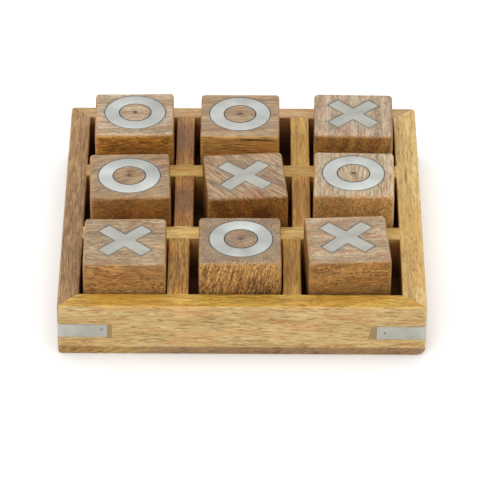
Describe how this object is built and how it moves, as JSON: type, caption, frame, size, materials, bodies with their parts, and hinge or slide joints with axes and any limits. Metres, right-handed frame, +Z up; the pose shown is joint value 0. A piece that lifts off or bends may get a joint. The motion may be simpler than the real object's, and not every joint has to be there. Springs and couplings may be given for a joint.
{
  "type": "tic tac toe set",
  "caption": "Wooden noughts and crosses game: square mitred tray with a grid of cells, holding loose cube blocks with inlaid metal rings and crosses.",
  "frame": {"origin": "middle of the tray's underside", "axes": "+Z up out of the tray, +X to the tray's right, +Y towards its back, with the front rail at -Y"},
  "size_m": [0.178, 0.178, 0.0443],
  "materials": {
    "golden_wood": "oiled, eased edges",
    "brown_wood": "oiled, eased edges",
    "base_wood": "oiled",
    "block_wood": "sanded smooth, low sheen",
    "aluminium": "satin, sanded flush",
    "brad_metal": "dull",
    "wood_filler": "matt",
    "plug_filler": "matt"
  },
  "bodies": {
    "tray": {"front_rail": "golden_wood", "back_rail": "golden_wood", "left_rail": "brown_wood", "right_rail": "golden_wood", "base_board": "base_wood", "cross_slat_back": "golden_wood", "cross_slat_front": "golden_wood", "divider_back_left": "brown_wood", "divider_middle_left": "brown_wood", "divider_front_left": "golden_wood", "divider_back_right": "golden_wood", "divider_middle_right": "golden_wood", "divider_front_right": "golden_wood", "strap_front_left": "aluminium", "strap_front_right": "aluminium", "strap_back_left": "aluminium", "strap_back_right": "aluminium", "strap_brads": "brad_metal", "recess_fillers": "wood_filler"},
    "back_left_block": {"block_back_left": "block_wood", "ring_back_left": "aluminium", "plug_back_left": "plug_filler"},
    "back_centre_block": {"block_back_centre": "block_wood", "ring_back_centre": "aluminium", "plug_back_centre": "plug_filler"},
    "back_right_block": {"block_back_right": "block_wood", "cross_back_right": "aluminium"},
    "middle_left_block": {"block_middle_left": "block_wood", "ring_middle_left": "aluminium", "plug_middle_left": "plug_filler"},
    "middle_centre_block": {"block_middle_centre": "block_wood", "cross_middle_centre": "aluminium"},
    "middle_right_block": {"block_middle_right": "block_wood", "ring_middle_right": "aluminium", "plug_middle_right": "plug_filler"},
    "front_left_block": {"block_front_left": "block_wood", "cross_front_left": "aluminium"},
    "front_centre_block": {"block_front_centre": "block_wood", "ring_front_centre": "aluminium", "plug_front_centre": "plug_filler"},
    "front_right_block": {"block_front_right": "block_wood", "cross_front_right": "aluminium"}
  },
  "joints": [
    {"name": "lift_back_left", "type": "slide", "parent": "tray", "child": "back_left_block", "axis": [0, 0, 1], "range_m": [0, 0.05]},
    {"name": "lift_back_centre", "type": "slide", "parent": "tray", "child": "back_centre_block", "axis": [0, 0, 1], "range_m": [0, 0.05]},
    {"name": "lift_back_right", "type": "slide", "parent": "tray", "child": "back_right_block", "axis": [0, 0, 1], "range_m": [0, 0.05]},
    {"name": "lift_middle_left", "type": "slide", "parent": "tray", "child": "middle_left_block", "axis": [0, 0, 1], "range_m": [0, 0.05]},
    {"name": "lift_middle_centre", "type": "slide", "parent": "tray", "child": "middle_centre_block", "axis": [0, 0, 1], "range_m": [0, 0.05]},
    {"name": "lift_middle_right", "type": "slide", "parent": "tray", "child": "middle_right_block", "axis": [0, 0, 1], "range_m": [0, 0.05]},
    {"name": "lift_front_left", "type": "slide", "parent": "tray", "child": "front_left_block", "axis": [0, 0, 1], "range_m": [0, 0.05]},
    {"name": "lift_front_centre", "type": "slide", "parent": "tray", "child": "front_centre_block", "axis": [0, 0, 1], "range_m": [0, 0.05]},
    {"name": "lift_front_right", "type": "slide", "parent": "tray", "child": "front_right_block", "axis": [0, 0, 1], "range_m": [0, 0.05]}
  ]
}
